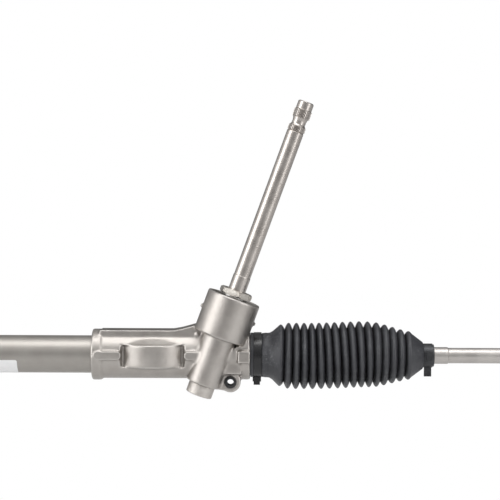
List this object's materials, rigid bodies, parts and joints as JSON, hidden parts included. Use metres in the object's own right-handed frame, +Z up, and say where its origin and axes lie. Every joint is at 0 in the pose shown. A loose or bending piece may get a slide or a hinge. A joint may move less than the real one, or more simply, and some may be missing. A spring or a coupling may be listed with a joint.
{
  "type": "steering rack",
  "caption": "Manual rack and pinion steering gear with a leaning input shaft, a cast housing, a steel tube, rubber boots and tie rods.",
  "frame": {"origin": "on the rack's axis, in the middle of the clamp seat on the steel tube", "axes": "+X along the rack towards the pinion, +Z up, the pinion in front of the rack on the -Y side"},
  "size_m": [1.1504, 0.0907, 0.2967],
  "materials": {
    "cast_housing": "satin blasted casting",
    "tube_steel": "satin warm grey",
    "cap_steel": "satin",
    "shaft_steel": "ground steel",
    "nut_steel": "turned steel",
    "bearing_steel": "ground steel",
    "bronze": "sintered bronze",
    "black_steel": "phosphated",
    "rack_steel": "ground steel",
    "socket_steel": "forged and turned",
    "rod_steel": "bright zinc",
    "yellow_zinc": "zinc plated",
    "white_plastic": "moulded",
    "seal_rubber": "moulded",
    "boot_rubber": "satin moulded",
    "strap_plastic": "moulded nylon",
    "clamp_steel": "black coated"
  },
  "bodies": {
    "housing": {"gear_housing": "cast_housing", "rack_tube": "tube_steel", "rack_bush": "white_plastic", "lug_bush": "seal_rubber", "bottom_cap": "cap_steel", "bottom_bush": "bronze", "bearing_outer_ring": "bearing_steel", "bearing_balls": "bearing_steel", "bearing_cage": "bronze", "bearing_circlip": "black_steel", "pinion_seal": "seal_rubber", "yoke": "cap_steel", "yoke_liner": "white_plastic", "yoke_o_ring": "seal_rubber", "yoke_spring": "black_steel", "yoke_plug": "cap_steel", "yoke_lock_nut": "yellow_zinc", "right_boot": "boot_rubber", "left_boot": "boot_rubber", "right_boot_strap": "strap_plastic", "left_boot_strap": "strap_plastic"},
    "pinion": {"pinion_shaft": "shaft_steel", "bearing_inner_ring": "bearing_steel", "pinion_spacer": "bearing_steel", "pinion_nut": "nut_steel"},
    "rack": {"rack_bar": "rack_steel", "right_socket": "socket_steel", "left_socket": "socket_steel"},
    "right_seat": {"right_ball_seat": "white_plastic"},
    "left_seat": {"left_ball_seat": "white_plastic"},
    "right_tie_rod": {"right_tie_rod": "rod_steel", "right_jam_nut": "yellow_zinc", "right_cuff_clamp": "clamp_steel"},
    "left_tie_rod": {"left_tie_rod": "rod_steel", "left_jam_nut": "yellow_zinc", "left_cuff_clamp": "clamp_steel"}
  },
  "joints": [
    {"name": "rack_slide", "type": "slide", "parent": "housing", "child": "rack", "axis": [1, 0, 0], "range_m": [-0.065, 0.065], "deforming": ["right_boot", "left_boot"]},
    {"name": "pinion_turn", "type": "hinge", "parent": "housing", "child": "pinion", "pos_m": [0.33, -0.01495, 0], "axis": [0.342, 0, 0.9397], "range_deg": [-565, 565]},
    {"name": "right_rod_swing", "type": "hinge", "parent": "rack", "child": "right_seat", "pos_m": [0.485, 0, 0], "axis": [0, 1, 0], "range_deg": [-18, 18]},
    {"name": "right_rod_sweep", "type": "hinge", "parent": "right_seat", "child": "right_tie_rod", "pos_m": [0.485, 0, 0], "axis": [0, 0, 1], "range_deg": [-12, 12]},
    {"name": "left_rod_swing", "type": "hinge", "parent": "rack", "child": "left_seat", "pos_m": [-0.1654, 0, 0], "axis": [0, 1, 0], "range_deg": [-18, 18]},
    {"name": "left_rod_sweep", "type": "hinge", "parent": "left_seat", "child": "left_tie_rod", "pos_m": [-0.1654, 0, 0], "axis": [0, 0, 1], "range_deg": [-12, 12]}
  ],
  "couplings": [
    {"joint": "pinion_turn", "follows": "rack_slide", "rad_per_m": -150.38}
  ]
}
